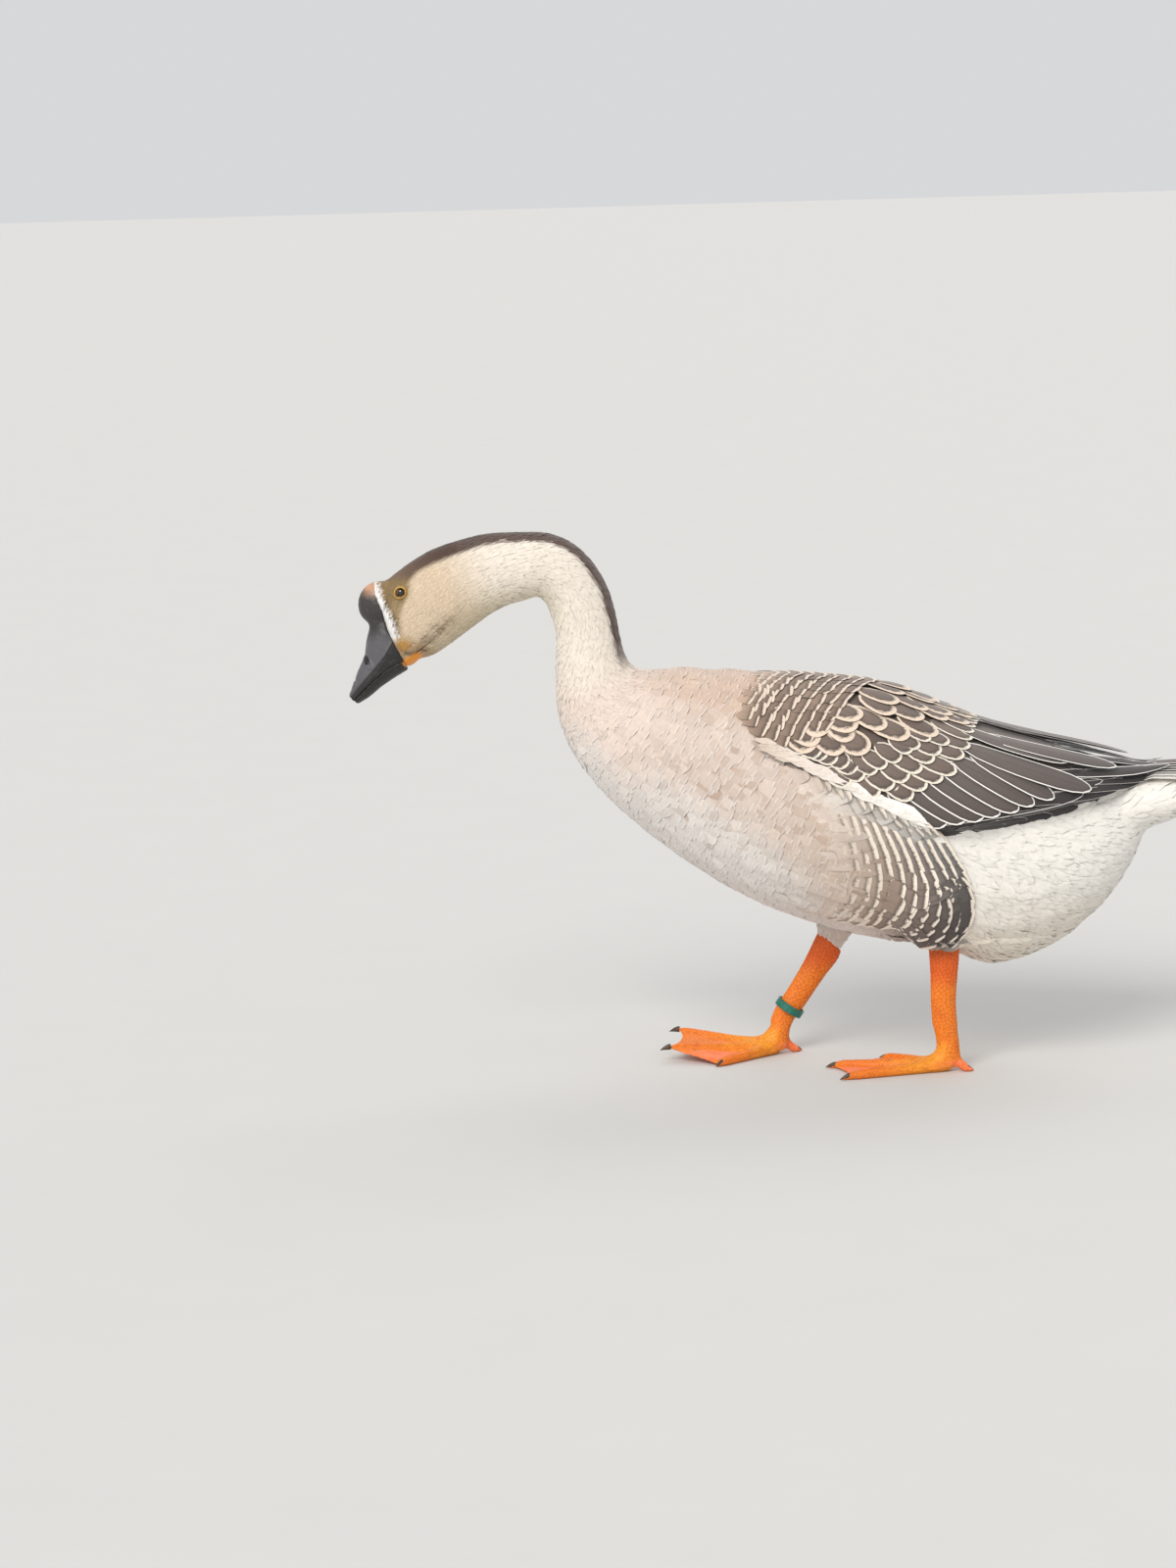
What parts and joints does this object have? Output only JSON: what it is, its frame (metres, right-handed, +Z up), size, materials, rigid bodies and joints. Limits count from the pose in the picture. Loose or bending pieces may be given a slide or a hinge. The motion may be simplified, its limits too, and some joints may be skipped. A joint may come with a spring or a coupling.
{
  "type": "domestic knobbed goose, walking",
  "caption": "Life-size still model of a brown knobbed domestic goose in mid step, neck stretched forward and head lowered, with a plain band on its right leg.",
  "frame": {"origin": "on the floor under the middle of the bounding box", "axes": "+Z up; the goose faces -X; its left side is towards -Y"},
  "size_m": [0.8414, 0.24, 0.5142],
  "materials": {
    "cream_plumage": "soft matt feathers, cream to buff",
    "brown_plumage": "satin brown feathers with pale edges",
    "white_plumage": "soft matt white feathers",
    "black_horn": "satin black bill skin and horn",
    "eye": "wet glossy brown eye",
    "orange_skin": "satin orange scaled skin",
    "green_plastic": "satin moulded green plastic"
  },
  "bodies": {
    "root": {"head": "cream_plumage", "neck_upper": "cream_plumage", "neck_middle": "cream_plumage", "neck_lower": "cream_plumage", "trunk": "cream_plumage", "thigh_left": "cream_plumage", "thigh_right": "cream_plumage", "wing_left": "brown_plumage", "wing_right": "brown_plumage", "tail": "white_plumage", "knob": "black_horn", "bill_upper": "black_horn", "bill_lower": "black_horn", "eye_left": "eye", "eye_right": "eye", "shank_left": "orange_skin", "shank_right": "orange_skin", "foot_left": "orange_skin", "foot_right": "orange_skin", "leg_ring": "green_plastic"}
  },
  "joints": []
}
